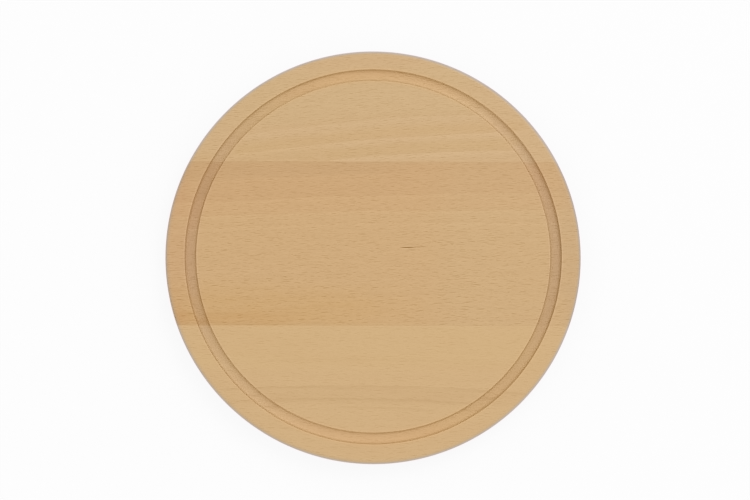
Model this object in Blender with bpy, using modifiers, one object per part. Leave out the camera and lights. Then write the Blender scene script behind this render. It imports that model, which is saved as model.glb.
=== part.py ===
"""Round beech cutting board with a juice groove.

Three solid beech staves are glued edge to edge into one blank. The blank is then turned round,
its rim is rounded over above and below, and the juice groove, with a shallow floor and rounded
corners, is cut across all three staves. The grain runs along X. The board lies on the plane
z = 0, and its turning axis is the Z axis.
"""

import math

import bpy

# Driving sizes, in metres
BOARD_DIAMETER = 0.300
BOARD_THICKNESS = 0.018
TOP_EDGE_RADIUS = 0.0030
BOTTOM_EDGE_RADIUS = 0.0030
GROOVE_MARGIN = 0.0137  # from the rim to the groove's outer lip
GROOVE_HALF_WIDTH = 0.00445  # from the groove's middle to where each lip starts
GROOVE_DEPTH = 0.0032
GROOVE_CORNER_RADIUS = 0.0020  # between the wall and the shallow floor
GROOVE_LIP_RADIUS = 0.0004  # the lips are broken with sandpaper
MIDDLE_STAVE_WIDTH = 0.1190
MIDDLE_STAVE_OFFSET = 0.0083  # the middle stave's centre line lies this far behind the board's centre
GLUE_THICKNESS = 0.0002
GLUE_CLEARANCE = 0.00005  # from the film to a stave's jointed edge, on each side

# The groove's slopes, in degrees: where its floor meets a corner, and of its walls
GROOVE_FLOOR_SLOPE = 14
GROOVE_WALL_SLOPE = 80

# How finely the turned surfaces are faceted
TURNING_STEPS = 144
EDGE_SEGMENTS = 6
FLOOR_SEGMENTS = 4
CORNER_SEGMENTS = 4
LIP_SEGMENTS = 2
SAME_POINT = 0.00001

BOARD_RADIUS = BOARD_DIAMETER / 2
BACK_SEAM_Y = MIDDLE_STAVE_OFFSET + MIDDLE_STAVE_WIDTH / 2
FRONT_SEAM_Y = MIDDLE_STAVE_OFFSET - MIDDLE_STAVE_WIDTH / 2
BLOCK_OVERHANG = 0.010  # how far a cutting block reaches past the blank

# Surface finish: base colour, roughness
PALE_BEECH = ((0.65, 0.43, 0.22), 0.55)
ROSY_BEECH = ((0.61, 0.38, 0.19), 0.55)
DRIED_GLUE = ((0.50, 0.33, 0.16), 0.40)


def clear_scene():
    for old in list(bpy.data.objects):
        bpy.data.objects.remove(old, do_unlink=True)


def new_collection(name):
    collection = bpy.data.collections.new(name)
    bpy.context.scene.collection.children.link(collection)
    return collection


def surface(name, finish):
    colour, roughness = finish
    material = bpy.data.materials.new(name)
    material.use_nodes = True
    shader = material.node_tree.nodes["Principled BSDF"]
    shader.inputs["Base Color"].default_value = (*colour, 1)
    shader.inputs["Roughness"].default_value = roughness
    shader.inputs["Metallic"].default_value = 0
    return material


def arc(centre_r, centre_z, radius, start_degrees, end_degrees, segments):
    """Points (r, z) along an arc, both ends included. Zero degrees points outwards, ninety up."""
    points = []
    for i in range(segments + 1):
        angle = math.radians(start_degrees + (end_degrees - start_degrees) * i / segments)
        points.append((centre_r + radius * math.cos(angle), centre_z + radius * math.sin(angle)))
    return points


def joined(*runs):
    """One run of points made from several, without the repeats where two of them meet."""
    points = []
    for run in runs:
        for point in run:
            if not points or math.dist(point, points[-1]) > SAME_POINT:
                points.append(point)
    return points


def groove_section():
    """The juice groove from its inner lip to its outer lip.

    From each lip a straight wall runs down to a corner arc, which carries on without a kink into
    the shallow arc of the floor. A lip, a wall, a corner and half the floor share the groove's
    half width and its depth between them, and the floor's radius follows from that.
    """
    low, steep = math.radians(GROOVE_FLOOR_SLOPE), math.radians(GROOVE_WALL_SLOPE)
    lip, corner = GROOVE_LIP_RADIUS, GROOVE_CORNER_RADIUS
    across = GROOVE_HALF_WIDTH - lip * math.sin(steep) - corner * (math.sin(steep) - math.sin(low))
    down = GROOVE_DEPTH - lip * (1 - math.cos(steep)) - corner * (math.cos(low) - math.cos(steep))
    floor = (across * math.sin(steep) - down * math.cos(steep)) / (math.cos(steep - low) - math.cos(steep))

    middle_r = BOARD_RADIUS - GROOVE_MARGIN - GROOVE_HALF_WIDTH
    lip_z = BOARD_THICKNESS - lip
    floor_z = BOARD_THICKNESS - GROOVE_DEPTH + floor
    corner_offset = (floor - corner) * math.sin(low)
    corner_z = floor_z - (floor - corner) * math.cos(low)
    floor_start, floor_end = 270 - GROOVE_FLOOR_SLOPE, 270 + GROOVE_FLOOR_SLOPE
    wall_start, wall_end = 270 - GROOVE_WALL_SLOPE, 270 + GROOVE_WALL_SLOPE

    return joined(
        arc(middle_r - GROOVE_HALF_WIDTH, lip_z, lip, 90, wall_start - 180, LIP_SEGMENTS),
        arc(middle_r - corner_offset, corner_z, corner, wall_start, floor_start, CORNER_SEGMENTS),
        arc(middle_r, floor_z, floor, floor_start, floor_end, FLOOR_SEGMENTS),
        arc(middle_r + corner_offset, corner_z, corner, floor_end, wall_end, CORNER_SEGMENTS),
        arc(middle_r + GROOVE_HALF_WIDTH, lip_z, lip, wall_end - 180, 90, LIP_SEGMENTS),
    )


def rim_section():
    """The rim from the top face's edge down to the bottom face's edge, rounded over at both."""
    top = arc(
        BOARD_RADIUS - TOP_EDGE_RADIUS, BOARD_THICKNESS - TOP_EDGE_RADIUS,
        TOP_EDGE_RADIUS, 90, 0, EDGE_SEGMENTS,
    )
    bottom = arc(
        BOARD_RADIUS - BOTTOM_EDGE_RADIUS, BOTTOM_EDGE_RADIUS,
        BOTTOM_EDGE_RADIUS, 0, -90, EDGE_SEGMENTS,
    )
    return joined(top, bottom)


def board_section():
    """Half the board's section, from the top face's centre round to the bottom face's centre."""
    return joined([(0, BOARD_THICKNESS)], groove_section(), rim_section(), [(0, 0)])


def turned_blank(name, material, collection):
    """The whole turned board. Each piece starts as this and keeps its own strip of it."""
    section = board_section()
    mesh = bpy.data.meshes.new(name)
    mesh.from_pydata(
        [(r, 0, z) for r, z in section],
        [(i, i + 1) for i in range(len(section) - 1)],
        [],
    )
    mesh.materials.append(material)
    blank = bpy.data.objects.new(name, mesh)
    collection.objects.link(blank)

    turning = blank.modifiers.new("turning", "SCREW")
    turning.axis = "Z"
    turning.angle = math.tau
    turning.steps = TURNING_STEPS
    turning.render_steps = TURNING_STEPS
    turning.use_merge_vertices = True
    turning.merge_threshold = SAME_POINT
    turning.use_smooth_shade = True
    return blank


def cutting_block(name, front_y, back_y, collection):
    """A block as long as the blank and thicker, between two planes across the grain's width."""
    length = BOARD_DIAMETER + 2 * BLOCK_OVERHANG
    height = BOARD_THICKNESS + 2 * BLOCK_OVERHANG
    bpy.ops.mesh.primitive_cube_add(size=1, location=(0, (front_y + back_y) / 2, BOARD_THICKNESS / 2))
    block = bpy.context.active_object
    block.name = name
    block.scale = (length, back_y - front_y, height)
    bpy.ops.object.transform_apply(location=False, rotation=False, scale=True)
    for owner in list(block.users_collection):
        owner.objects.unlink(block)
    collection.objects.link(block)
    block.display_type = "WIRE"
    block.hide_render = True
    return block


def board_piece(name, front_y, back_y, material, pieces, blocks):
    """The strip of the turned blank between two planes: a stave, or the glue film in a joint."""
    piece = turned_blank(name, material, pieces)
    ripping = piece.modifiers.new("ripping", "BOOLEAN")
    ripping.operation = "INTERSECT"
    ripping.solver = "EXACT"
    ripping.object = cutting_block(name + "_block", front_y, back_y, blocks)
    return piece


def build_board():
    pieces = new_collection("round_cutting_board")
    blocks = new_collection("cutting_blocks")
    pale = surface("pale_beech", PALE_BEECH)
    rosy = surface("rosy_beech", ROSY_BEECH)
    glue = surface("dried_glue", DRIED_GLUE)

    half_film = GLUE_THICKNESS / 2
    half_joint = half_film + GLUE_CLEARANCE
    back_y = BOARD_RADIUS + BLOCK_OVERHANG
    front_y = -back_y
    board_piece("back_stave", BACK_SEAM_Y + half_joint, back_y, pale, pieces, blocks)
    board_piece("middle_stave", FRONT_SEAM_Y + half_joint, BACK_SEAM_Y - half_joint, rosy, pieces, blocks)
    board_piece("front_stave", front_y, FRONT_SEAM_Y - half_joint, pale, pieces, blocks)
    board_piece("back_glue_line", BACK_SEAM_Y - half_film, BACK_SEAM_Y + half_film, glue, pieces, blocks)
    board_piece("front_glue_line", FRONT_SEAM_Y - half_film, FRONT_SEAM_Y + half_film, glue, pieces, blocks)


clear_scene()
build_board()
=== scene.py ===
import math

import bmesh
import bpy
from mathutils import Matrix, Vector


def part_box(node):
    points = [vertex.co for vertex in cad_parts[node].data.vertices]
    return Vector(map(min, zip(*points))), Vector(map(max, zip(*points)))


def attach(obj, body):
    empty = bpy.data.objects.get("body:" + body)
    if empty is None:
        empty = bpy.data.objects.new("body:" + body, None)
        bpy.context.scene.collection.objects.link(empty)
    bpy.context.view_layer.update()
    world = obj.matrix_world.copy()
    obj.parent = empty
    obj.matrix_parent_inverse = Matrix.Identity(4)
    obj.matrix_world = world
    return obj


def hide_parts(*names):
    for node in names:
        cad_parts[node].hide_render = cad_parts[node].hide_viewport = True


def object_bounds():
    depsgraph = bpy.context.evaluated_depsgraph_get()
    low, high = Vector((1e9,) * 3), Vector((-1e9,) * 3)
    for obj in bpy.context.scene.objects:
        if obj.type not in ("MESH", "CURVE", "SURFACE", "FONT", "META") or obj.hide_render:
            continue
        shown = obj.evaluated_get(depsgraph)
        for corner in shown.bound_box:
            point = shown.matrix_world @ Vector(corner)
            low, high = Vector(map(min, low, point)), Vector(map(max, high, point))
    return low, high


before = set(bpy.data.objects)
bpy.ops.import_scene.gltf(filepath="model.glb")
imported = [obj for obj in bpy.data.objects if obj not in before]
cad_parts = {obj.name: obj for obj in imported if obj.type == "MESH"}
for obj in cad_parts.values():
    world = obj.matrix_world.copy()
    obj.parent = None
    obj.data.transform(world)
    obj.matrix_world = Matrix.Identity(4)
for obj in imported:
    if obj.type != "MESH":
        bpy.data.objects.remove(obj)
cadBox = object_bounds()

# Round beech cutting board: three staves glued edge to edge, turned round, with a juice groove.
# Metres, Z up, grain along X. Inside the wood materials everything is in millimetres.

mm = 0.001
samePoint = 0.001 * mm   # points closer than this are one
onTheCut = 0.0001 * mm   # points this close to a saw cut lie on it

# The turned shape. Radius and thickness come from the frame, slopes are in degrees.
board = {
    "radius": (cadBox[1].x - cadBox[0].x) / 2,
    "thickness": cadBox[1].z,
    "topRounding": 3.0 * mm,
    "bottomRounding": 3.0 * mm,
    "grooveMiddle": 131.85 * mm,
    "grooveHalfWidth": 4.45 * mm,  # to where the lips start
    "grooveDepth": 3.2 * mm,
    "grooveCorner": 2.0 * mm,
    "floorSlope": 14,              # where the shallow floor meets a corner
    "wallSlope": 80,
    "grooveLip": 0.4 * mm,
    "supportLoop": 0.5 * mm,       # keeps the flats flat beside the roundings
    "stepsRound": 288,
    "roundingSteps": 9,
    "lipSteps": 5,
    "cornerSteps": 8,
    "floorSteps": 6,
    "crispFrom": 35,               # degrees; edges sharper than this are shaded crisp
}

# The staves. Tones are linear colours. "slope" turns the grain by so many degrees, "pith" is the heart of
# the tree, across and up from the board's centre, and "ringMeets" is where one ring comes up in the top
# face. A stave's own groove tone where the groove runs along the grain is painted light against the
# groove's shade, with a tint of the cut wood.
# The tones of areas, ring edges and gum streaks multiply the wood under them. Areas and ring edges lie
# where they meet the top face: "at" is where they cross the board's centre line, "rise" and "bend" how
# they climb along the grain, "from" and "to" where they start and end, with "fade" beyond. A ring edge
# has a sharp boundary: its front tone fades out over "front" mm before it, its back tone over "back" mm
# behind it.
backStave = {
    "name": "backStaveWood",
    "node": "back_stave",
    "slot": "pale_beech",
    "seed": 11.0,
    "wood": (0.590, 0.392, 0.198),
    "streakTone": (0.630, 0.432, 0.232),
    "rosyTone": (0.585, 0.372, 0.188),
    "slope": 2.6,
    "pith": (175.0, -280.0),
    "ringSpacing": 4.0,
    "ringMeets": 83.9,
    "ringLine": 0.05,
    "streaks": 0.22,
    "rosy": 0.25,
    "mottle": 0.035,
    "clearFlecks": 0.52,
    "faintFlecks": 0.46,
    # painted light lifting the groove's shade along the grain, with a tint of the cut wood
    "alongCut": (1.050, 1.012, 0.942),
    "areas": [
        {"at": 74.0, "rise": 0.060, "halfWidth": 5.0, "soft": 5.0, "from": -120, "to": -40, "fade": 20,
         "tone": (0.990, 0.975, 0.930)},
        {"at": 118.0, "rise": 0.050, "halfWidth": 14.0, "soft": 9.0, "from": -90, "to": 60, "fade": 40,
         "tone": (0.995, 1.010, 1.000)},
    ],
    "ringEdges": [
        {"at": 83.9, "rise": 0.0818, "bend": -0.000205, "from": -95, "to": 100, "fade": 15,
         "front": 5.0, "frontTone": (1.035, 1.045, 1.085), "back": 10.0, "backTone": (0.984, 0.968, 0.910)},
        {"at": 97.8, "rise": 0.0821, "bend": -0.000268, "from": -95, "to": 70, "fade": 15,
         "front": 4.5, "frontTone": (1.022, 1.030, 1.055), "back": 5.0, "backTone": (0.990, 0.980, 0.960)},
        {"at": 71.6, "rise": 0.0918, "bend": -0.000472, "from": -25, "to": 100, "fade": 15,
         "front": 4.5, "frontTone": (1.035, 1.045, 1.090), "back": 11.0, "backTone": (0.984, 0.970, 0.915)},
    ],
    "gumStreaks": [],
}

middleStave = {
    "name": "middleStaveWood",
    "node": "middle_stave",
    "slot": "rosy_beech",
    "seed": 47.0,
    "wood": (0.588, 0.375, 0.178),
    "streakTone": (0.607, 0.390, 0.194),
    "slope": 1.0,
    "pith": (95.0, -185.0),
    "ringSpacing": 3.2,
    "ringMeets": 42.6,
    "ringLine": 0.05,
    "streaks": 0.18,
    "mottle": 0.04,
    "clearFlecks": 0.60,
    "faintFlecks": 0.50,
    "areas": [
        {"at": -41.0, "rise": -0.03, "halfWidth": 3.0, "soft": 21.0, "from": -150, "to": -45, "fade": 115,
         "tone": (0.980, 0.950, 0.850)},
        {"at": -46.0, "rise": 0.012, "halfWidth": 4.0, "soft": 5.0, "from": -150, "to": -100, "fade": 70,
         "tone": (0.965, 0.920, 0.840)},
        {"at": 5.0, "rise": 0.0, "halfWidth": 60.0, "soft": 6.0, "from": 70, "to": 132, "fade": 40,
         "tone": (0.995, 1.020, 1.040)},
        {"at": 5.0, "rise": 0.0, "halfWidth": 60.0, "soft": 6.0, "from": 142, "to": 160, "fade": 12,
         "tone": (0.960, 0.965, 0.995)},
        {"at": 5.0, "rise": 0.0, "halfWidth": 60.0, "soft": 6.0, "from": -160, "to": -140, "fade": 12,
         "tone": (0.980, 0.945, 0.955)},
    ],
    "ringEdges": [
        {"at": 59.4, "rise": 0.0558, "bend": 0.00005, "from": -160, "to": -20, "fade": 70,
         "front": 3.5, "frontTone": (1.012, 1.016, 1.018), "back": 300, "backTone": (0.972, 0.976, 0.978)},
        {"at": 42.6, "rise": 0.0305, "bend": -0.000051, "from": -160, "to": 160, "fade": 10,
         "front": 4.0, "frontTone": (1.022, 1.030, 1.040), "back": 300, "backTone": (0.981, 0.967, 0.958)},
        {"at": 30.9, "rise": 0.0218, "bend": 0.0, "from": -160, "to": 160, "fade": 10,
         "front": 3.5, "frontTone": (1.022, 1.032, 1.042), "back": 300, "backTone": (0.996, 0.975, 0.965)},
        {"at": 22.2, "rise": 0.0178, "bend": -0.000028, "from": -160, "to": 160, "fade": 10,
         "front": 3.5, "frontTone": (1.028, 1.038, 1.056), "back": 2.0, "backTone": (0.995, 0.990, 0.985)},
    ],
    "gumStreaks": [
        {"at": (24.6, 5.2), "rise": 0.0, "halfLength": 6.6, "halfWidth": 0.52,
         "amount": 0.85, "tone": (0.50, 0.42, 0.26)},
        {"at": (33.2, 5.6), "rise": 0.06, "halfLength": 5.4, "halfWidth": 0.42,
         "amount": 0.5, "tone": (0.74, 0.62, 0.48)},
    ],
}

frontStave = {
    "name": "frontStaveWood",
    "node": "front_stave",
    "slot": "pale_beech",
    "seed": 83.0,
    "wood": (0.604, 0.400, 0.196),
    "streakTone": (0.620, 0.417, 0.214),
    "rosyTone": (0.592, 0.380, 0.184),
    "slope": -1.8,
    "pith": (30.0, -190.0),
    "ringSpacing": 3.0,
    "ringMeets": -94.0,
    "ringLine": 0.04,
    "streaks": 0.15,
    "rosy": 0.4,
    "mottle": 0.02,
    "clearFlecks": 0.31,
    "faintFlecks": 0.24,
    # painted light lifting the groove's shade along the grain, with a tint of the cut wood
    "alongCut": (1.050, 1.020, 1.004),
    "areas": [
        {"at": -101.5, "rise": -0.015, "halfWidth": 3.5, "soft": 4.0, "from": -60, "to": 80, "fade": 40,
         "tone": (0.970, 0.962, 0.950)},
        {"at": -66.0, "rise": 0.0, "halfWidth": 10.0, "soft": 12.0, "from": -120, "to": 110, "fade": 20,
         "tone": (1.005, 1.010, 0.985)},
    ],
    "ringEdges": [
        {"at": -93.9, "rise": -0.0111, "bend": -0.000351, "from": -100, "to": 100, "fade": 15,
         "front": 3.2, "frontTone": (0.940, 0.925, 0.900)},
        {"at": -103.2, "rise": -0.0209, "bend": -0.000404, "from": -110, "to": 70, "fade": 15,
         "front": 3.2, "frontTone": (0.950, 0.937, 0.912)},
        {"at": -109.2, "rise": -0.0267, "bend": -0.000416, "from": -15, "to": 30, "fade": 22,
         "front": 2.6, "frontTone": (0.955, 0.945, 0.925)},
        {"at": -75.1, "rise": -0.0124, "bend": -0.000251, "from": -70, "to": 90, "fade": 20,
         "front": 2.6, "frontTone": (0.975, 0.968, 0.950)},
    ],
    "gumStreaks": [],
}

glueFilm = {
    "thickness": 0.12 * mm,
    "colour": (0.54, 0.345, 0.165),
    "darker": (0.48, 0.295, 0.135),
    "darkBetween": (0.4, 0.65),
    "roughness": (0.3, 0.5),
    "spots": {"size": (4 * mm, 1 * mm, 1 * mm), "seed": 3.0, "detail": 3.0, "rough": 0.6,
              "between": (0.3, 0.7)},
}


# The board's section, drawn point by point outwards from the turning axis

def lineTo(bm, pen, x, z):
    point = bm.verts.new((x, 0, z))
    bm.edges.new((pen, point))
    return point


def arcTo(bm, pen, x, z, degrees, steps):
    # clockwise round (x, z), as seen with X to the right
    turned = bmesh.ops.spin(
        bm, geom=[pen], cent=(x, 0, z), axis=(0, 1, 0), angle=math.radians(degrees), steps=steps,
    )
    return turned["geom_last"][0]


def grooveFloor(shape):
    # the floor's radius and the straight bit of wall that give the groove its width and depth
    low, steep = math.radians(shape["floorSlope"]), math.radians(shape["wallSlope"])
    corner, lip = shape["grooveCorner"], shape["grooveLip"]
    across = shape["grooveHalfWidth"] - lip * math.sin(steep) - corner * (math.sin(steep) - math.sin(low))
    down = shape["grooveDepth"] - lip * (1 - math.cos(steep)) - corner * (math.cos(low) - math.cos(steep))
    floor = (across * math.sin(steep) - down * math.cos(steep)) / (math.cos(steep - low) - math.cos(steep))
    wall = (across - floor * math.sin(low)) / math.cos(steep)
    return floor, wall


def drawSection(bm, shape):
    radius, top = shape["radius"], shape["thickness"]
    middle, halfWidth = shape["grooveMiddle"], shape["grooveHalfWidth"]
    low, steep = shape["floorSlope"], shape["wallSlope"]
    corner, lip = shape["grooveCorner"], shape["grooveLip"]
    floor, wall = grooveFloor(shape)
    wallX, wallZ = wall * math.cos(math.radians(steep)), wall * math.sin(math.radians(steep))
    floorHeight = top - shape["grooveDepth"] + floor
    cornerX = (floor - corner) * math.sin(math.radians(low))
    cornerZ = floorHeight - (floor - corner) * math.cos(math.radians(low))
    innerLip, outerLip = middle - halfWidth, middle + halfWidth
    support = shape["supportLoop"]

    pen = bm.verts.new((0, 0, top))
    pen = lineTo(bm, pen, innerLip - support, top)
    pen = lineTo(bm, pen, innerLip, top)
    pen = arcTo(bm, pen, innerLip, top - lip, steep, shape["lipSteps"])
    pen = lineTo(bm, pen, pen.co.x + wallX, pen.co.z - wallZ)
    pen = arcTo(bm, pen, middle - cornerX, cornerZ, low - steep, shape["cornerSteps"])
    pen = arcTo(bm, pen, middle, floorHeight, -2 * low, shape["floorSteps"])
    pen = arcTo(bm, pen, middle + cornerX, cornerZ, low - steep, shape["cornerSteps"])
    pen = lineTo(bm, pen, pen.co.x + wallX, pen.co.z + wallZ)
    pen = arcTo(bm, pen, outerLip, top - lip, steep, shape["lipSteps"])
    pen = lineTo(bm, pen, outerLip + support, top)

    rounding = shape["topRounding"]
    pen = lineTo(bm, pen, radius - rounding - support, top)
    pen = lineTo(bm, pen, radius - rounding, top)
    pen = arcTo(bm, pen, radius - rounding, top - rounding, 90, shape["roundingSteps"])
    pen = lineTo(bm, pen, radius, top - rounding - support)

    rounding = shape["bottomRounding"]
    pen = lineTo(bm, pen, radius, rounding + support)
    pen = lineTo(bm, pen, radius, rounding)
    pen = arcTo(bm, pen, radius - rounding, rounding, 90, shape["roundingSteps"])
    pen = lineTo(bm, pen, radius - rounding - support, 0)
    lineTo(bm, pen, 0, 0)


def turnBoard(shape):
    bm = bmesh.new()
    drawSection(bm, shape)
    bmesh.ops.spin(
        bm, geom=bm.verts[:] + bm.edges[:], cent=(0, 0, 0), axis=(0, 0, 1),
        angle=math.tau, steps=shape["stepsRound"], use_merge=True,
    )
    bmesh.ops.remove_doubles(bm, verts=bm.verts, dist=samePoint)
    bmesh.ops.recalc_face_normals(bm, faces=bm.faces)
    return bm


def ripStrip(bm, frontY, backY):
    # keeps what lies between two planes across the board's width, and closes the sawn faces
    for y, outwards in ((frontY, -1), (backY, 1)):
        if abs(y) >= board["radius"]:
            continue
        cut = bmesh.ops.bisect_plane(
            bm, geom=bm.verts[:] + bm.edges[:] + bm.faces[:], dist=onTheCut,
            plane_co=(0, y, 0), plane_no=(0, outwards, 0), clear_outer=True,
        )
        sawn = [e for e in cut["geom_cut"] if isinstance(e, bmesh.types.BMEdge)]
        bmesh.ops.holes_fill(bm, edges=sawn, sides=0)
    bmesh.ops.recalc_face_normals(bm, faces=bm.faces)


def makePiece(name, frontY, backY, material):
    bm = turnBoard(board)
    ripStrip(bm, frontY, backY)
    mesh = bpy.data.meshes.new(name)
    bm.to_mesh(mesh)
    bm.free()
    mesh.materials.append(material)
    mesh.shade_smooth()
    mesh.set_sharp_from_angle(angle=math.radians(board["crispFrom"]))
    piece = bpy.data.objects.new(name, mesh)
    bpy.context.scene.collection.objects.link(piece)
    return piece


# Small helpers for node trees. A value may be a number, a tuple or another node's socket.

def feed(tree, socket, value):
    if isinstance(value, bpy.types.NodeSocket):
        tree.links.new(value, socket)
    elif socket.type == "RGBA" and len(value) == 3:
        socket.default_value = (*value, 1)
    else:
        socket.default_value = value


def calc(tree, operation, *values):
    node = tree.nodes.new("ShaderNodeMath")
    node.operation = operation
    for socket, value in zip(node.inputs, values):
        feed(tree, socket, value)
    return node.outputs["Value"]


def plus(tree, first, second):
    return calc(tree, "ADD", first, second)


def minus(tree, first, second):
    return calc(tree, "SUBTRACT", first, second)


def times(tree, first, second):
    return calc(tree, "MULTIPLY", first, second)


def over(tree, first, second):
    return calc(tree, "DIVIDE", first, second)


def calcVector(tree, operation, *values):
    node = tree.nodes.new("ShaderNodeVectorMath")
    node.operation = operation
    for socket, value in zip(node.inputs, values):
        feed(tree, socket, value)
    return node.outputs["Value" if operation == "LENGTH" else "Vector"]


def joinVector(tree, x, y, z):
    node = tree.nodes.new("ShaderNodeCombineXYZ")
    for socket, value in zip(node.inputs, (x, y, z)):
        feed(tree, socket, value)
    return node.outputs["Vector"]


def splitVector(tree, vector):
    node = tree.nodes.new("ShaderNodeSeparateXYZ")
    feed(tree, node.inputs["Vector"], vector)
    return node.outputs["X"], node.outputs["Y"], node.outputs["Z"]


def softStep(tree, value, low, high, toLow=0.0, toHigh=1.0):
    node = tree.nodes.new("ShaderNodeMapRange")
    node.interpolation_type = "SMOOTHSTEP"
    limits = {"Value": value, "From Min": low, "From Max": high, "To Min": toLow, "To Max": toHigh}
    for name, limit in limits.items():
        feed(tree, node.inputs[name], limit)
    return node.outputs["Result"]


def cloud(tree, pattern, place, seed=0.0, output="Fac"):
    # noise whose lumps measure about the pattern's size in each direction
    start = seed + pattern["seed"]
    shrink = tuple(1 / size for size in pattern["size"])
    spot = calcVector(tree, "MULTIPLY_ADD", place, shrink, (start, start * 1.7, start * 0.6))
    node = tree.nodes.new("ShaderNodeTexNoise")
    feed(tree, node.inputs["Vector"], spot)
    node.inputs["Scale"].default_value = 1.0
    node.inputs["Detail"].default_value = pattern["detail"]
    node.inputs["Roughness"].default_value = pattern["rough"]
    return node.outputs[output]


def softCloud(tree, pattern, place, seed, toLow=0.0, toHigh=1.0):
    return softStep(tree, cloud(tree, pattern, place, seed), *pattern["between"], toLow, toHigh)


def blend(tree, factor, first, second, kind="MIX"):
    node = tree.nodes.new("ShaderNodeMix")
    node.data_type = "RGBA"
    node.blend_type = kind
    node.clamp_factor = True
    feed(tree, node.inputs[0], factor)
    feed(tree, node.inputs[6], first)   # the sockets for colours
    feed(tree, node.inputs[7], second)
    return node.outputs[2]


def tint(tree, colour, amount, tone):
    return blend(tree, amount, colour, tone, "MULTIPLY")


def newGroup(name, given, results, vectors=()):
    group = bpy.data.node_groups.new(name, "ShaderNodeTree")
    for key in given:
        kind = "NodeSocketVector" if key in vectors else "NodeSocketFloat"
        group.interface.new_socket(key, in_out="INPUT", socket_type=kind)
    for key in results:
        group.interface.new_socket(key, in_out="OUTPUT", socket_type="NodeSocketFloat")
    return group, group.nodes.new("NodeGroupInput").outputs, group.nodes.new("NodeGroupOutput").inputs


def useGroup(tree, group, places, values):
    # places feed the sockets of the same name, values those of the same name with a small first letter
    node = tree.nodes.new("ShaderNodeGroup")
    node.node_tree = group
    for name, place in places.items():
        feed(tree, node.inputs[name], place)
    for socket in node.inputs:
        key = socket.name[0].lower() + socket.name[1:]
        if key in values:
            socket.default_value = values[key]
    return node.outputs


# Rays: thin sheets that run out from the pith, seen from above as short dark dashes along the grain.
# There is one fleck to a cell, measured along, across and down, and no two are alike.
rays = {
    "clear": {"cell": (9.2, 1.8, 60.0), "halfLength": 3.3, "halfWidth": 0.19, "tilt": 0.22,
              "tone": (0.72, 0.62, 0.36)},
    "faint": {"cell": (6.0, 1.05, 45.0), "halfLength": 2.2, "halfWidth": 0.14, "tilt": 0.22,
              "tone": (0.74, 0.65, 0.41)},
    "fine": {"cell": (2.4, 0.62, 30.0), "halfLength": 0.8, "halfWidth": 0.08, "tilt": 0.16,
             "tone": (0.80, 0.73, 0.56), "amount": 0.3},
    "scatter": 0.9,     # how far flecks stray from an even grid
    "shortest": 0.45,   # of the half length; the longest are one half length longer
    "palest": 0.10,
    "darkCore": 0.15,
}


def makeRayGroup():
    keys = ("Place", "Cell", "HalfLength", "HalfWidth", "Tilt")
    group, given, result = newGroup("rayFlecks", keys, ("Fleck",), vectors=("Place", "Cell"))
    spot = calcVector(group, "DIVIDE", given["Place"], given["Cell"])
    cells = group.nodes.new("ShaderNodeTexVoronoi")
    cells.feature = "F1"
    cells.voronoi_dimensions = "3D"
    cells.inputs["Scale"].default_value = 1.0
    cells.inputs["Randomness"].default_value = rays["scatter"]
    feed(group, cells.inputs["Vector"], spot)
    away = calcVector(group, "SUBTRACT", spot, cells.outputs["Position"])
    along, across, _ = splitVector(group, calcVector(group, "MULTIPLY", away, given["Cell"]))
    chance = group.nodes.new("ShaderNodeSeparateColor")
    feed(group, chance.inputs["Color"], cells.outputs["Color"])

    tilt = times(group, minus(group, chance.outputs["Red"], 0.5), given["Tilt"])
    length = times(group, plus(group, chance.outputs["Green"], rays["shortest"]), given["HalfLength"])
    sideways = minus(group, across, times(group, along, tilt))
    lengthShare = over(group, along, length)
    widthShare = over(group, sideways, given["HalfWidth"])
    reach = plus(group, times(group, lengthShare, lengthShare), times(group, widthShare, widthShare))
    inside = softStep(group, reach, 1.0, rays["darkCore"])
    darkness = softStep(group, chance.outputs["Blue"], 0.0, 1.0, rays["palest"], 1.0)
    feed(group, result["Fleck"], times(group, inside, darkness))
    return group


rayGroup = makeRayGroup()


def flecks(tree, kind, place, seed):
    shifted = calcVector(tree, "ADD", place, (seed * 7.1, seed * 3.3, seed * 1.9))
    return useGroup(tree, rayGroup, {"Place": shifted}, rays[kind])["Fleck"]


# Areas and ring edges: parts of the wood with a tone of their own
ringEdgeShape = {
    "border": 0.4,   # how soft the boundary is on each side of it
    "whole": 0.5,    # the share of its reach over which the back tone stays whole
}


def stretchAlong(group, given):
    beforeStart = minus(group, given["From"], given["Fade"])
    pastEnd = plus(group, given["To"], given["Fade"])
    start = softStep(group, given["Along"], beforeStart, given["From"])
    end = softStep(group, given["Along"], pastEnd, given["To"])
    return times(group, start, end)


def makeAreaGroup():
    keys = ("Along", "Across", "At", "Rise", "HalfWidth", "Soft", "From", "To", "Fade")
    group, given, result = newGroup("toneArea", keys, ("Amount",))
    middle = calc(group, "MULTIPLY_ADD", given["Rise"], given["Along"], given["At"])
    away = calc(group, "ABSOLUTE", minus(group, given["Across"], middle))
    body = softStep(group, away, plus(group, given["HalfWidth"], given["Soft"]), given["HalfWidth"])
    feed(group, result["Amount"], times(group, body, stretchAlong(group, given)))
    return group


def makeRingEdgeGroup():
    keys = ("Along", "Across", "At", "Rise", "Bend", "From", "To", "Fade", "Front", "Back")
    group, given, result = newGroup("ringEdge", keys, ("Front", "Back"))
    border = ringEdgeShape["border"]
    rise = calc(group, "MULTIPLY_ADD", given["Bend"], given["Along"], given["Rise"])
    edge = calc(group, "MULTIPLY_ADD", rise, given["Along"], given["At"])
    before = minus(group, edge, given["Across"])
    behind = minus(group, given["Across"], edge)
    wholeBack = times(group, given["Back"], ringEdgeShape["whole"])
    front = softStep(group, before, given["Front"], 0.0)
    back = softStep(group, behind, given["Back"], wholeBack)
    front = times(group, softStep(group, before, -border, border), front)
    back = times(group, softStep(group, behind, -border, border), back)
    stretch = stretchAlong(group, given)
    feed(group, result["Front"], times(group, front, stretch))
    feed(group, result["Back"], times(group, back, stretch))
    return group


areaGroup = makeAreaGroup()
ringEdgeGroup = makeRingEdgeGroup()

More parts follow.
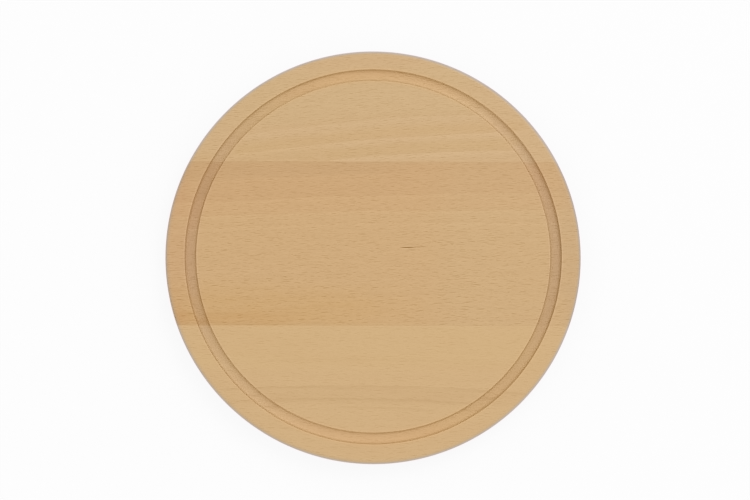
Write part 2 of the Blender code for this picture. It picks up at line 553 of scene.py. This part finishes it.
# What the staves share. A pattern's size is along, across and up, or as its place has it, and its seed is
# added to the stave's own. "between" are the noise values from which it starts to show and shows in full.
beech = {
    "wander": {"size": (110, 30, 30), "seed": 0, "detail": 1.0, "rough": 0.5},
    "wanderReach": (0, 3, 1.2),
    "teeth": {"size": (7, 0.5, 0.5), "seed": 13, "detail": 2.0, "rough": 0.6},
    "teethReach": 1.8,
    "streaks": {"size": (150, 1.6, 1), "seed": 0, "detail": 3.0, "rough": 0.6, "between": (0.40, 0.72)},
    "patches": {"size": (75, 14, 12), "seed": 5, "detail": 2.0, "rough": 0.5, "between": (0.44, 0.72)},
    "uneven": {"size": (26, 2.5, 2.5), "seed": 17, "detail": 2.0, "rough": 0.5, "between": (0.3, 0.7)},
    "unevenReach": (0.6, 1.2),
    "mottle": {"size": (11, 2.6, 2.6), "seed": 21, "detail": 2.0, "rough": 0.5, "between": (0.25, 0.75)},
    "mottleReach": 0.35,
    "fibre": {"size": (4.5, 0.24, 0.24), "seed": 33, "detail": 1.0, "rough": 0.5, "between": (0.25, 0.75)},
    "fibreReach": 0.5,
    "shadeTint": (1.0, 1.2, 1.6),   # a darker spot loses most of its blue
    "ringWidth": {"size": (9, 1, 1), "seed": 3, "detail": 1.0, "rough": 0.5},
    "ringWidthReach": 1.2,
    "ringDepth": {"size": (0.31, 1, 1), "seed": 8, "detail": 0.0, "rough": 0.5, "between": (0.25, 0.75)},
    "palestRing": 0.25,
    "ringDarkens": (0.35, 0.93),    # shares of the way from one ring's end to the next
    "ringEnds": (1.0, 0.96),
    "ringTone": (0.80, 0.72, 0.64),
    "pores": {"size": (2.2, 0.11, 0.11), "seed": 0, "detail": 2.0, "rough": 0.6, "between": (0.56, 0.74)},
    "poreTone": (0.78, 0.70, 0.50),
    "poreAmount": 0.3,
    "gumCore": 0.05,
    "gumDepth": (3, 1),             # below the top face: none left, and whole
    "poreRoughness": 0.5,
    "roughest": 1.5,
    "roughness": (0.36, 0.60),
    "ior": 1.45,
}

# What turning and routing do to the wood, with painted light and shade in the groove. Tones multiply the
# wood's own colour. The groove runs across the grain at the board's two ends, where acrossGrain is 1, and
# along it at front and back, where it is 0.
turned = {
    "grooveBorder": (0.6, 0.2),             # outside and inside its lips
    "wallDepth": (0.10, 0.7),               # below the top face
    "underFloor": (4.0, 3.6),
    "grooveLift": (1.045, 1.050, 1.050),    # painted light on the groove's walls and floor, but for its two ends: it lifts the groove's own shade
    "liftBetween": (0.96, 0.60),
    "crossCut": (0.941, 0.941, 1.018),
    "crossCutAngles": (65, 2),              # degrees from the two ends
    "cutSkew": -6,                          # the fibres aren't quite level, so left and right differ
    "alongCutBetween": (0.70, 0.20),
    "againstGrain": (1.000, 1.012, 1.038),  # the cutter went round one way, so in two opposite quarters
    "withGrain": (1.000, 0.987, 0.942),     # it lifted the fibres, and in the others it laid them
    "rubbedCorner": (0.955, 0.935, 0.905),  # painted shade in the corner under the groove's outer wall
    "rubbedBetween": (3.1, 1.1),            # inside the outer lip
    "rubbedTowards": -50,                   # degrees from +X, where it is plainest
    "rubbedSide": (-0.5, 0.7),
    "tornFibre": (0.72, 0.67, 0.62),
    "tornAmount": 0.6,
    "torn": {"size": (2.6, 0.55, 0.5), "seed": 9, "detail": 2.0, "rough": 0.6, "between": (0.60, 0.74)},
    "rim": (3.2, 1.8),                      # inside the board's radius
    "endGrain": (0.84, 0.79, 0.76),         # the rim's two ends
    "endGrainBetween": (0.55, 1.0),         # how squarely the surface looks along the grain
    "endRing": (0.88, 0.83, 0.79),
    "endRay": (1.12, 1.12, 1.10),
    "endRays": {"size": (1.4, 0.20, 7.0), "seed": 41, "detail": 2.0, "rough": 0.5, "between": (0.56, 0.70)},
    "fleckLoss": 0.85,                      # how far dark flecks fade on end grain
    "fleckLossBetween": (0.25, 0.8),
}

# Pores, rays and torn fibres sink. Sanding runs with the grain, the cutter round the board.
relief = {
    "depth": 0.03 * mm,
    "pores": 0.6,
    "rays": 0.35,
    "torn": 2.0,
    "sanding": 0.25,
    "cutter": 0.5,
    "sandingMarks": {"size": (30, 0.12, 0.12), "seed": 51, "detail": 1.0, "rough": 0.5},
    "floorMarks": {"size": (0.22, 22, 22), "seed": 61, "detail": 2.0, "rough": 0.5},
    "sideMarks": {"size": (0.22, 22, 22), "seed": 63, "detail": 2.0, "rough": 0.5},
}


def findPlaces(tree, stave):
    # where a spot lies on the board, in the wandering grain, among the rings and among the rays
    coordinates = tree.nodes.new("ShaderNodeTexCoord")
    plain = calcVector(tree, "SCALE", coordinates.outputs["Object"])
    plain.node.inputs["Scale"].default_value = 1 / mm
    x, y, z = splitVector(tree, plain)
    turn = tree.nodes.new("ShaderNodeMapping")
    turn.vector_type = "POINT"
    feed(tree, turn.inputs["Vector"], plain)
    turn.inputs["Rotation"].default_value = (0, 0, math.radians(-stave["slope"]))
    grain = turn.outputs["Vector"]
    wander = cloud(tree, beech["wander"], grain, stave["seed"], "Color")
    wander = calcVector(tree, "SUBTRACT", wander, (0.5, 0.5, 0.5))
    bent = calcVector(tree, "MULTIPLY_ADD", wander, beech["wanderReach"], grain)
    along, across, height = splitVector(tree, bent)

    # growth rings round a pith outside the board, and where each ring comes up in the top face
    pithAcross, pithHeight = stave["pith"]
    pithBelow = board["thickness"] / mm - pithHeight
    offAcross = minus(tree, across, pithAcross)
    offHeight = minus(tree, height, pithHeight)
    ringRadius = calcVector(tree, "LENGTH", joinVector(tree, offAcross, offHeight, 0))
    belowTop = minus(tree, times(tree, ringRadius, ringRadius), pithBelow ** 2)
    surfacing = calc(tree, "SQRT", calc(tree, "MAXIMUM", belowTop, 0.0))
    surfacing = times(tree, surfacing, calc(tree, "SIGN", offAcross))
    teeth = minus(tree, cloud(tree, beech["teeth"], bent, stave["seed"]), 0.5)
    shift = calc(tree, "MULTIPLY_ADD", teeth, beech["teethReach"], minus(tree, surfacing, offAcross))

    # rays run out from the pith
    rayAngle = calc(tree, "ARCTAN2", offAcross, calc(tree, "ABSOLUTE", offHeight))
    rayAcross = times(tree, rayAngle, abs(pithBelow))

    geometry = tree.nodes.new("ShaderNodeNewGeometry")
    lookingAlong, _, _ = splitVector(tree, geometry.outputs["Normal"])
    return {
        "plain": plain, "x": x, "y": y, "z": z, "bent": bent, "ringRadius": ringRadius,
        "fromAxis": calcVector(tree, "LENGTH", joinVector(tree, x, y, 0)),
        "band": {"Along": x, "Across": plus(tree, y, shift)},
        "ring": joinVector(tree, along, ringRadius, 0),
        "ray": joinVector(tree, along, rayAcross, ringRadius),
        "endOn": calc(tree, "ABSOLUTE", lookingAlong),
    }


def drawRingLine(tree, stave, place):
    # a thin dark line to a ring, with rings of uneven width and depth
    pithAcross, pithHeight = stave["pith"]
    firstRing = math.hypot(stave["ringMeets"] - pithAcross, board["thickness"] / mm - pithHeight)
    reach = beech["ringWidthReach"]
    radius = place["ringRadius"]
    width = cloud(tree, beech["ringWidth"], joinVector(tree, radius, 0, 0), stave["seed"])
    count = over(tree, minus(tree, radius, firstRing), stave["ringSpacing"])
    count = plus(tree, count, calc(tree, "MULTIPLY_ADD", width, 2 * reach, -reach))
    phase = calc(tree, "FRACT", count)
    ring = joinVector(tree, calc(tree, "FLOOR", count), 0, 0)
    depth = softCloud(tree, beech["ringDepth"], ring, stave["seed"], beech["palestRing"], 1.0)
    line = softStep(tree, phase, *beech["ringDarkens"])
    line = times(tree, line, softStep(tree, phase, *beech["ringEnds"]))
    return times(tree, line, depth)


def colourWood(tree, stave, place, ringLine):
    seed, bent = stave["seed"], place["bent"]
    streaks = softCloud(tree, beech["streaks"], place["ring"], seed, 0, stave["streaks"])
    colour = blend(tree, streaks, stave["wood"], stave["streakTone"])
    if "rosy" in stave:
        patches = softCloud(tree, beech["patches"], bent, seed, 0, stave["rosy"])
        colour = blend(tree, patches, colour, stave["rosyTone"])
    uneven = softCloud(tree, beech["uneven"], bent, seed, *beech["unevenReach"])
    for area in stave["areas"]:
        amount = useGroup(tree, areaGroup, place["band"], area)["Amount"]
        colour = tint(tree, colour, times(tree, amount, uneven), area["tone"])
    for edge in stave["ringEdges"]:
        amounts = useGroup(tree, ringEdgeGroup, place["band"], edge)
        colour = tint(tree, colour, times(tree, amounts["Front"], uneven), edge["frontTone"])
        if "backTone" in edge:
            colour = tint(tree, colour, amounts["Back"], edge["backTone"])
    colour = tint(tree, colour, times(tree, ringLine, stave["ringLine"]), beech["ringTone"])

    mottleReach, fibreReach = beech["mottleReach"], beech["fibreReach"]
    mottle = softCloud(tree, beech["mottle"], bent, seed, -mottleReach, mottleReach)
    fibre = softCloud(tree, beech["fibre"], bent, seed, -fibreReach, fibreReach)
    shade = times(tree, plus(tree, mottle, fibre), stave["mottle"])
    shade = joinVector(tree, shade, shade, shade)
    shade = calcVector(tree, "MULTIPLY_ADD", shade, beech["shadeTint"], (1, 1, 1))
    return calcVector(tree, "MULTIPLY", colour, shade)


def findRaysAndPores(tree, stave, place):
    # where the surface looks along the grain, the rays no longer show dark
    seed, ray = stave["seed"], place["ray"]
    share = softStep(tree, place["endOn"], *turned["fleckLossBetween"], 1.0, 1 - turned["fleckLoss"])
    return {
        "clear": times(tree, flecks(tree, "clear", ray, seed), times(tree, share, stave["clearFlecks"])),
        "faint": times(tree, flecks(tree, "faint", ray, seed), times(tree, share, stave["faintFlecks"])),
        "fine": times(tree, flecks(tree, "fine", ray, seed), share),
        "pores": softCloud(tree, beech["pores"], place["bent"], seed),
    }


def findWorkedFaces(tree, stave, place):
    # how far a spot belongs to the groove, to the parts of it that were cut differently or carry painted
    # light and shade, and to the rim
    x, y, z, fromAxis = place["x"], place["y"], place["z"], place["fromAxis"]
    top, radius = board["thickness"] / mm, board["radius"] / mm
    middle, half = board["grooveMiddle"] / mm, board["grooveHalfWidth"] / mm
    outside, inside = turned["grooveBorder"]
    innerLip = softStep(tree, fromAxis, middle - half - outside, middle - half + inside)
    outerLip = softStep(tree, fromAxis, middle + half + outside, middle + half - inside)
    walls = softStep(tree, z, *(top - down for down in turned["wallDepth"]))
    floor = softStep(tree, z, *(top - down for down in turned["underFloor"]))
    groove = times(tree, times(tree, innerLip, outerLip), times(tree, walls, floor))

    skew = math.radians(turned["cutSkew"])
    skewedX = calc(tree, "MULTIPLY_ADD", y, math.sin(skew), times(tree, x, math.cos(skew)))
    acrossGrain = over(tree, calc(tree, "ABSOLUTE", skewedX), calc(tree, "MAXIMUM", fromAxis, 1.0))
    fromEnds = calc(tree, "ARCCOSINE", acrossGrain)
    crossAngles = [math.radians(angle) for angle in turned["crossCutAngles"]]
    squared = calc(tree, "MAXIMUM", times(tree, fromAxis, fromAxis), 1.0)
    quarter = over(tree, times(tree, times(tree, x, y), 2.0), squared)

    # painted shade in the groove's corner under its outer wall, plainest towards one side
    towards = math.radians(turned["rubbedTowards"])
    side = calc(tree, "MULTIPLY_ADD", x, math.cos(towards), times(tree, y, math.sin(towards)))
    side = softStep(tree, over(tree, side, middle), *turned["rubbedSide"])
    corner = softStep(tree, fromAxis, *(middle + half - within for within in turned["rubbedBetween"]))
    onRim = softStep(tree, fromAxis, *(radius - within for within in turned["rim"]))
    return {
        "groove": groove,
        # painted light that lifts the groove's own shade, but for its two ends
        "grooveLift": times(tree, groove, softStep(tree, acrossGrain, *turned["liftBetween"])),
        "crossCut": times(tree, groove, softStep(tree, fromEnds, *crossAngles)),
        # painted light lifting the groove's shade where it runs along the grain
        "alongCut": times(tree, groove, softStep(tree, acrossGrain, *turned["alongCutBetween"])),
        "againstGrain": times(tree, groove, softStep(tree, quarter, 0.0, 1.0)),
        "withGrain": times(tree, groove, softStep(tree, quarter, 0.0, -1.0)),
        "rubbedCorner": times(tree, groove, times(tree, corner, side)),
        "torn": softCloud(tree, turned["torn"], place["bent"], stave["seed"]),
        "onRim": onRim,
        "endGrain": times(tree, onRim, softStep(tree, place["endOn"], *turned["endGrainBetween"])),
    }


def drawGum(tree, place, gum):
    gumX, gumY = gum["at"]
    offX = minus(tree, place["x"], gumX)
    offY = minus(tree, minus(tree, place["y"], gumY), times(tree, offX, gum["rise"]))
    reachX = over(tree, offX, gum["halfLength"])
    reachY = over(tree, offY, gum["halfWidth"])
    core = plus(tree, times(tree, reachX, reachX), times(tree, reachY, reachY))
    core = softStep(tree, core, 1.0, beech["gumCore"], 0, gum["amount"])
    depths = [board["thickness"] / mm - down for down in beech["gumDepth"]]
    return times(tree, core, softStep(tree, place["z"], *depths))


def raiseRelief(tree, stave, place, marks, worked):
    seed, x, y = stave["seed"], place["x"], place["y"]
    sanding = cloud(tree, relief["sandingMarks"], place["plain"], seed)
    floorMarks = cloud(tree, relief["floorMarks"], joinVector(tree, place["fromAxis"], x, y), seed)
    sideMarks = cloud(tree, relief["sideMarks"], joinVector(tree, place["z"], x, y), seed)
    cutterShare = times(tree, calc(tree, "MAXIMUM", worked["groove"], worked["onRim"]), relief["cutter"])
    tornShare = times(tree, worked["crossCut"], relief["torn"])
    depth = times(tree, marks["pores"], relief["pores"])
    depth = plus(tree, depth, times(tree, marks["clear"], relief["rays"]))
    depth = plus(tree, depth, times(tree, worked["torn"], tornShare))
    depth = plus(tree, depth, times(tree, sanding, relief["sanding"]))
    depth = plus(tree, depth, times(tree, plus(tree, floorMarks, sideMarks), cutterShare))
    bump = tree.nodes.new("ShaderNodeBump")
    bump.inputs["Strength"].default_value = 1.0
    bump.inputs["Distance"].default_value = -relief["depth"]
    feed(tree, bump.inputs["Height"], depth)
    return bump.outputs["Normal"]


def makeBeech(stave):
    material = bpy.data.materials.new(stave["name"])
    material.use_nodes = True
    tree = material.node_tree
    shader = tree.nodes["Principled BSDF"]
    place = findPlaces(tree, stave)
    ringLine = drawRingLine(tree, stave, place)
    marks = findRaysAndPores(tree, stave, place)
    worked = findWorkedFaces(tree, stave, place)

    colour = colourWood(tree, stave, place, ringLine)
    colour = tint(tree, colour, marks["clear"], rays["clear"]["tone"])
    colour = tint(tree, colour, marks["faint"], rays["faint"]["tone"])
    colour = tint(tree, colour, times(tree, marks["fine"], rays["fine"]["amount"]), rays["fine"]["tone"])
    colour = tint(tree, colour, times(tree, marks["pores"], beech["poreAmount"]), beech["poreTone"])

    # painted light: the groove's walls and floor are lifted against their own shade, more where the groove
    # runs along the grain
    colour = tint(tree, colour, worked["grooveLift"], turned["grooveLift"])
    colour = tint(tree, colour, worked["crossCut"], turned["crossCut"])
    if "alongCut" in stave:
        colour = tint(tree, colour, worked["alongCut"], stave["alongCut"])
    # the two quarter tones are the cut wood's own; the corner tone is painted shade under the outer wall
    for kind in ("againstGrain", "withGrain", "rubbedCorner"):
        colour = tint(tree, colour, worked[kind], turned[kind])
    tornAmount = times(tree, worked["torn"], times(tree, worked["crossCut"], turned["tornAmount"]))
    colour = tint(tree, colour, tornAmount, turned["tornFibre"])

    # end grain on the rim's two ends: darker, with the rings and the pale rays plain to see
    endGrain = worked["endGrain"]
    endRays = softCloud(tree, turned["endRays"], place["ray"], stave["seed"])
    colour = tint(tree, colour, endGrain, turned["endGrain"])
    colour = tint(tree, colour, times(tree, endGrain, ringLine), turned["endRing"])
    colour = tint(tree, colour, times(tree, endGrain, endRays), turned["endRay"])
    for gum in stave["gumStreaks"]:
        colour = tint(tree, colour, drawGum(tree, place, gum), gum["tone"])
    feed(tree, shader.inputs["Base Color"], colour)

    rough = calc(tree, "MAXIMUM", worked["crossCut"], endGrain)
    rough = plus(tree, times(tree, marks["pores"], beech["poreRoughness"]), rough)
    rough = softStep(tree, rough, 0.0, beech["roughest"], *beech["roughness"])
    feed(tree, shader.inputs["Roughness"], rough)
    shader.inputs["IOR"].default_value = beech["ior"]
    feed(tree, shader.inputs["Normal"], raiseRelief(tree, stave, place, marks, worked))
    return material


def makeGlue():
    material = bpy.data.materials.new("driedGlue")
    material.use_nodes = True
    tree = material.node_tree
    shader = tree.nodes["Principled BSDF"]
    coordinates = tree.nodes.new("ShaderNodeTexCoord")
    spots = cloud(tree, glueFilm["spots"], coordinates.outputs["Object"])
    dark = softStep(tree, spots, *glueFilm["darkBetween"])
    feed(tree, shader.inputs["Base Color"], blend(tree, dark, glueFilm["colour"], glueFilm["darker"]))
    rough = softStep(tree, spots, *glueFilm["spots"]["between"], *glueFilm["roughness"])
    feed(tree, shader.inputs["Roughness"], rough)
    return material


def seamAt(node):
    low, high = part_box(node)
    return (low.y + high.y) / 2


backSeam = seamAt("back_glue_line")
frontSeam = seamAt("front_glue_line")
halfFilm = glueFilm["thickness"] / 2
past = board["radius"] + 1 * mm   # clear of the rim

for stave, frontY, backY in (
    (backStave, backSeam + halfFilm, past),
    (middleStave, frontSeam + halfFilm, backSeam - halfFilm),
    (frontStave, -past, frontSeam - halfFilm),
):
    piece = makePiece(stave["name"], frontY, backY, makeBeech(stave))
    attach(piece, "root")
    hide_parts(stave["node"])
    print("stave", stave["name"], len(piece.data.polygons), "faces")

glueMaterial = makeGlue()
for name, node, seam in (
    ("backGlueFilm", "back_glue_line", backSeam),
    ("frontGlueFilm", "front_glue_line", frontSeam),
):
    piece = makePiece(name, seam - halfFilm, seam + halfFilm, glueMaterial)
    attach(piece, "root")
    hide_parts(node)
    print("glue film", name, len(piece.data.polygons), "faces")


# Studio

studio = {
    "floorReach": 20,
    "floorDrop": 0.2 * mm,   # a hair below the board's underside
    "floorTone": 0.84,
    "floorGlow": 0.863,
    "skyStrength": 0.91,
    "keyAzimuth": 51,        # degrees from +X towards +Y
    "keyHeight": 54,         # degrees above the table
    "keyDistance": 4.0,
    "keySize": 2.0,
    "keyPower": 30.0,
}

picture = {
    "displayGamma": 2.2,
    "sharpening": 0.08,
    "sharpBelow": 0.04,      # of the way from the brightest wood to white
    "brightestWood": 0.73,   # on display tones; what is brighter is the floor
    "edgeReach": 6,          # in pixels
    "colourBlur": 6,
    "bluePaling": 1.6,
    "redPaling": 1.1,
    "colourless": 128 / 255,
}

camera = {
    "lens": 81.63,
    "sensorWidth": 36,
    "nearest": 0.05,
    "distance": 1.226,
    "tilt": 6.4,             # degrees from straight above, towards the front
    "pan": 0.93,             # and towards the left
    "aim": (0.00105, 0.0033),
}


def makeFloor():
    bm = bmesh.new()
    bmesh.ops.create_grid(bm, x_segments=1, y_segments=1, size=studio["floorReach"])
    mesh = bpy.data.meshes.new("studioFloor")
    bm.to_mesh(mesh)
    bm.free()
    floor = bpy.data.objects.new("studioFloor", mesh)
    floor.location.z = -studio["floorDrop"]
    bpy.context.scene.collection.objects.link(floor)
    material = bpy.data.materials.new("paperWhite")
    material.use_nodes = True
    material.cycles.emission_sampling = "NONE"   # so wide and even a glow needs no aimed light rays
    tree = material.node_tree
    shader = tree.nodes["Principled BSDF"]
    tone = studio["floorTone"] * (1 - studio["floorGlow"])
    shader.inputs["Base Color"].default_value = (tone, tone, tone, 1)
    shader.inputs["Roughness"].default_value = 1.0
    shader.inputs["Specular IOR Level"].default_value = 0.0
    shader.inputs["Emission Color"].default_value = (1, 1, 1, 1)
    shader.inputs["Emission Strength"].default_value = studio["floorGlow"]

    # a one-way floor: from beneath it is clear, so that the board's underside can be looked at
    side = tree.nodes.new("ShaderNodeNewGeometry")
    clear = tree.nodes.new("ShaderNodeBsdfTransparent")
    oneWay = tree.nodes.new("ShaderNodeMixShader")
    tree.links.new(side.outputs["Backfacing"], oneWay.inputs["Fac"])
    tree.links.new(shader.outputs["BSDF"], oneWay.inputs[1])
    tree.links.new(clear.outputs["BSDF"], oneWay.inputs[2])
    tree.links.new(oneWay.outputs["Shader"], tree.nodes["Material Output"].inputs["Surface"])
    mesh.materials.append(material)


def makeSky():
    world = bpy.data.worlds.new("softTent")
    world.use_nodes = True
    background = world.node_tree.nodes["Background"]
    background.inputs["Color"].default_value = (1, 1, 1, 1)
    background.inputs["Strength"].default_value = studio["skyStrength"]
    bpy.context.scene.world = world


def makeKey():
    azimuth, height = math.radians(studio["keyAzimuth"]), math.radians(studio["keyHeight"])
    towards = Vector((
        math.cos(azimuth) * math.cos(height), math.sin(azimuth) * math.cos(height), math.sin(height),
    ))
    light = bpy.data.lights.new("keySoftbox", "AREA")
    light.shape = "SQUARE"
    light.size = studio["keySize"]
    light.energy = studio["keyPower"]
    key = bpy.data.objects.new("keySoftbox", light)
    key.location = towards * studio["keyDistance"]
    key.rotation_mode = "QUATERNION"
    key.rotation_quaternion = towards.to_track_quat("Z", "Y")
    bpy.context.scene.collection.objects.link(key)


def finishPicture():
    # on display tones, as in a small photo: brightness is sharpened a little except where the board meets
    # the white floor, and there the wood's colour pales
    scene = bpy.context.scene
    scene.use_nodes = True
    tree = scene.node_tree
    tree.nodes.clear()

    def step(kind, *sources, **settings):
        node = tree.nodes.new("CompositorNode" + kind)
        for key, value in settings.items():
            setattr(node, key, value)
        for socket, source in zip(node.inputs, sources):
            if isinstance(source, bpy.types.NodeSocket):
                tree.links.new(source, socket)
            else:
                socket.default_value = source
        return node.outputs[0] if len(node.outputs) == 1 else node.outputs

    def softened(source, size):
        blurred = step("Blur", source, filter_type="GAUSS")
        blurred.node.inputs["Size"].default_value = (size, size)
        return blurred

    gamma, brightest = picture["displayGamma"], picture["brightestWood"]
    display = step("Gamma", step("RLayers")[0], 1 / gamma)
    brightness, blueShare, redShare, _ = step("SeparateColor", display, mode="YCC", ycc_mode="JFIF")
    overWood = step("Math", softened(brightness, picture["edgeReach"]), brightest, operation="SUBTRACT")
    whiteness = step("Math", overWood, 1 - brightest, operation="DIVIDE", use_clamp=True)
    onBoard = step("Math", whiteness, picture["sharpBelow"], operation="LESS_THAN")
    sharp = step("Filter", picture["sharpening"], brightness, filter_type="SHARPEN")
    crisp = step("MixRGB", onBoard, brightness, sharp)
    colourless = (picture["colourless"],) * 3 + (1,)
    pale = []
    for share, paling in ((blueShare, picture["bluePaling"]), (redShare, picture["redPaling"])):
        amount = step("Math", whiteness, paling, operation="MULTIPLY", use_clamp=True)
        pale.append(step("MixRGB", amount, softened(share, picture["colourBlur"]), colourless))
    whole = step("CombineColor", crisp, *pale, mode="YCC", ycc_mode="JFIF")
    step("Composite", step("Gamma", whole, gamma))


def makeCamera():
    tilt, pan = math.radians(camera["tilt"]), math.radians(camera["pan"])
    topCentre = Vector((0, 0, board["thickness"]))
    back = Vector((
        -math.sin(pan) * math.cos(tilt), -math.sin(tilt), math.cos(tilt) * math.cos(pan),
    )).normalized()
    eye = topCentre + back * camera["distance"]
    aim = topCentre + Vector((*camera["aim"], 0))
    back = (eye - aim).normalized()
    right = Vector((0, 1, 0)).cross(back).normalized()
    up = back.cross(right)
    data = bpy.data.cameras.new("photoCamera")
    data.lens = camera["lens"]
    data.sensor_width = camera["sensorWidth"]
    data.clip_start = camera["nearest"]
    viewer = bpy.data.objects.new("photoCamera", data)
    viewer.matrix_world = Matrix.Translation(eye) @ Matrix((right, up, back)).transposed().to_4x4()
    bpy.context.scene.collection.objects.link(viewer)
    bpy.context.scene.camera = viewer


makeFloor()
makeSky()
makeKey()
makeCamera()
finishPicture()
bpy.context.scene.view_settings.view_transform = "Standard"
print("studio and camera set")
